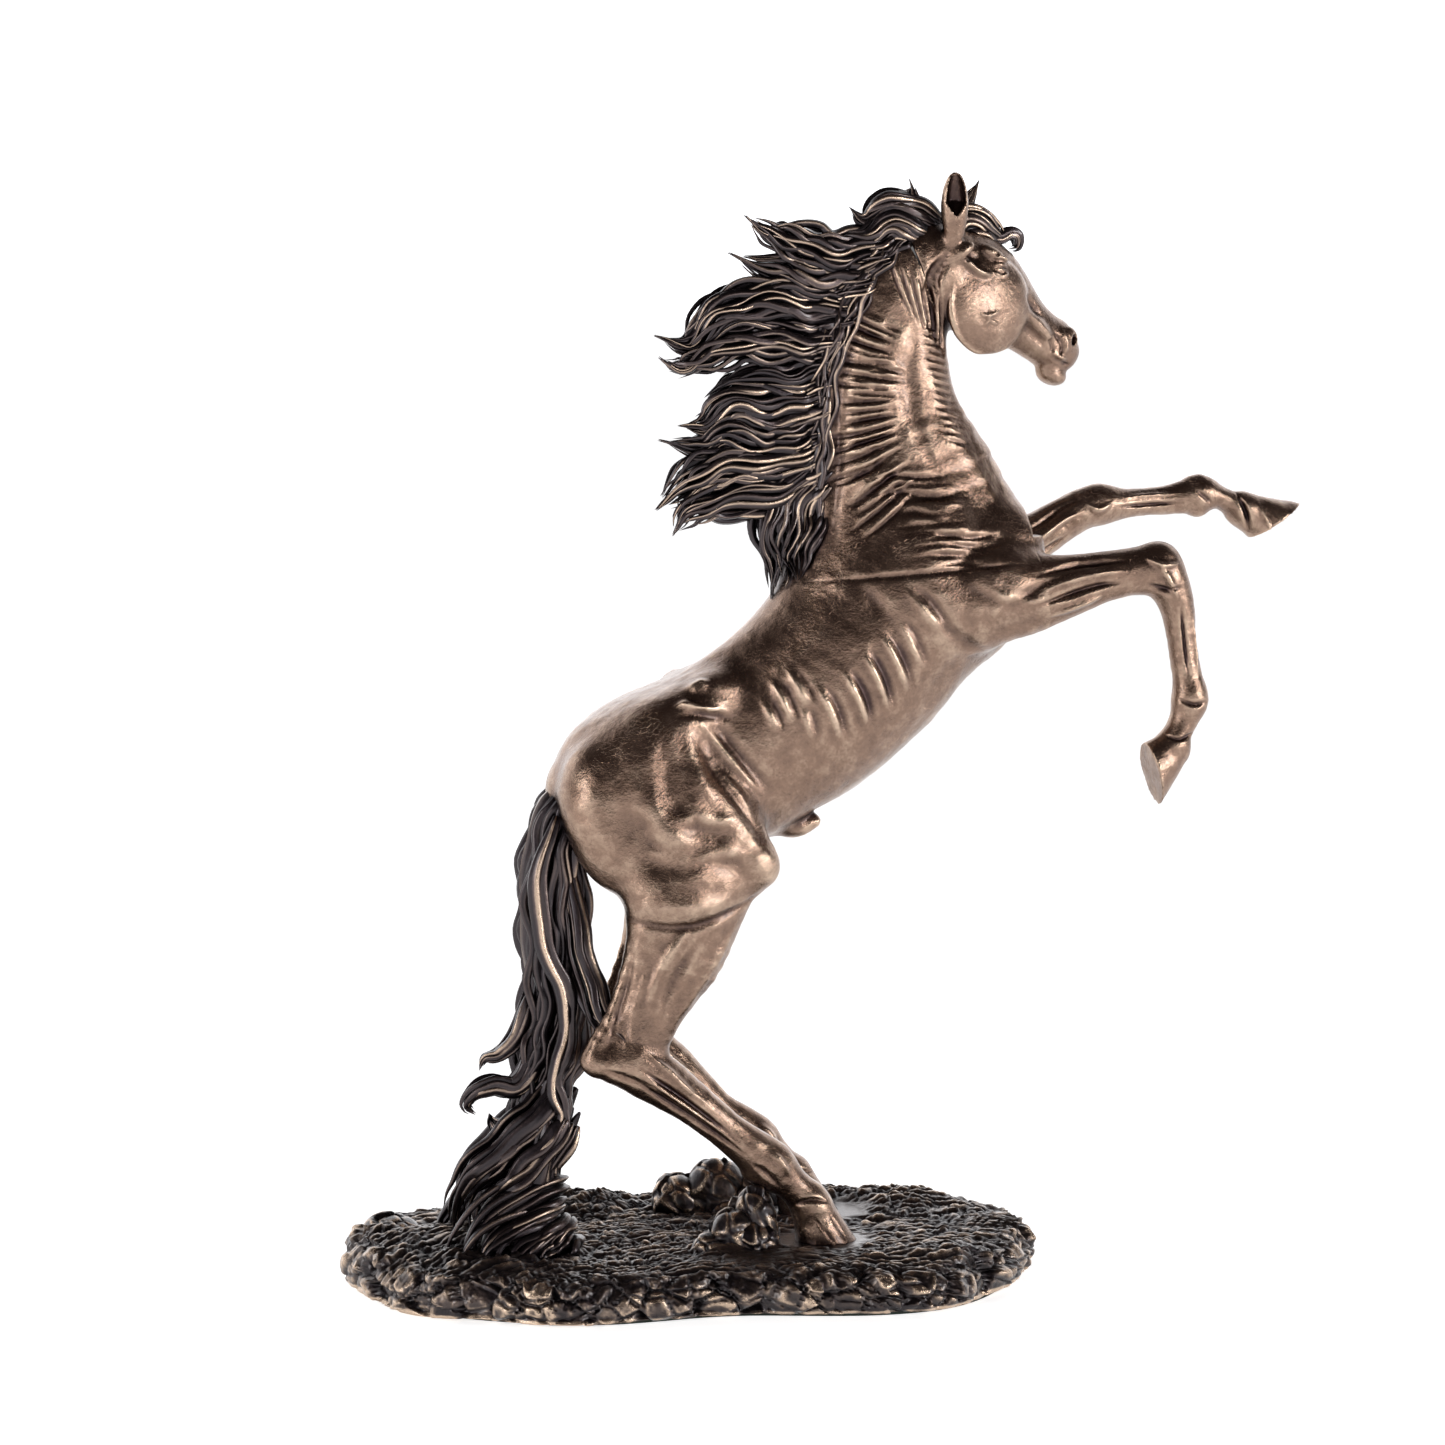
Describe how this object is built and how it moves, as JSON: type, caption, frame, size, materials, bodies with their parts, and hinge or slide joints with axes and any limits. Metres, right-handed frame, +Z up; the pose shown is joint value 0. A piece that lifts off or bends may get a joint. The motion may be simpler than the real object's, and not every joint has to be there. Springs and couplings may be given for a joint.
{
  "type": "rearing horse statuette",
  "caption": "Bronze statuette of a stallion rearing on its hind legs over an oval rocky base, long tail reaching the ground, mane flying back, head turned a little aside.",
  "frame": {"origin": "on the underside of the felt pad, at the middle of the base's length and width", "axes": "+X is the way the horse faces, +Y is the horse's left, +Z is up"},
  "size_m": [0.3026, 0.1237, 0.3296],
  "materials": {
    "body_bronze": "warm brown patinated bronze, satin gloss, rubbed bright on the high places",
    "hair_bronze": "dark purple-brown patinated bronze with lighter ridges",
    "ground_bronze": "dark patinated bronze with chiselled, lighter edges",
    "steel_fastening": "zinc-plated steel",
    "felt": "dark green felt"
  },
  "bodies": {
    "root": {"far_foreleg_casting": "body_bronze", "far_foreleg_pin": "body_bronze", "far_hind_leg_casting": "body_bronze", "far_hind_leg_pin": "body_bronze", "far_hoof_stud": "steel_fastening", "felt_pad": "felt", "forelock_casting": "hair_bronze", "ground_casting": "ground_bronze", "head_casting": "body_bronze", "head_pin": "body_bronze", "mane_bottom_locks": "hair_bronze", "mane_dowels": "body_bronze", "mane_lower_locks": "hair_bronze", "mane_middle_locks": "hair_bronze", "mane_poll_locks": "hair_bronze", "mane_upper_locks": "hair_bronze", "mane_withers_locks": "hair_bronze", "near_foreleg_casting": "body_bronze", "near_foreleg_pin": "body_bronze", "near_hind_leg_casting": "body_bronze", "near_hind_leg_pin": "body_bronze", "near_hoof_stud": "steel_fastening", "neck_casting": "body_bronze", "neck_joint_rivets": "body_bronze", "stud_nuts": "steel_fastening", "stud_washers": "steel_fastening", "tail_casting": "hair_bronze", "tail_pin": "body_bronze", "tail_stud": "steel_fastening", "trunk_casting": "body_bronze"}
  },
  "joints": []
}
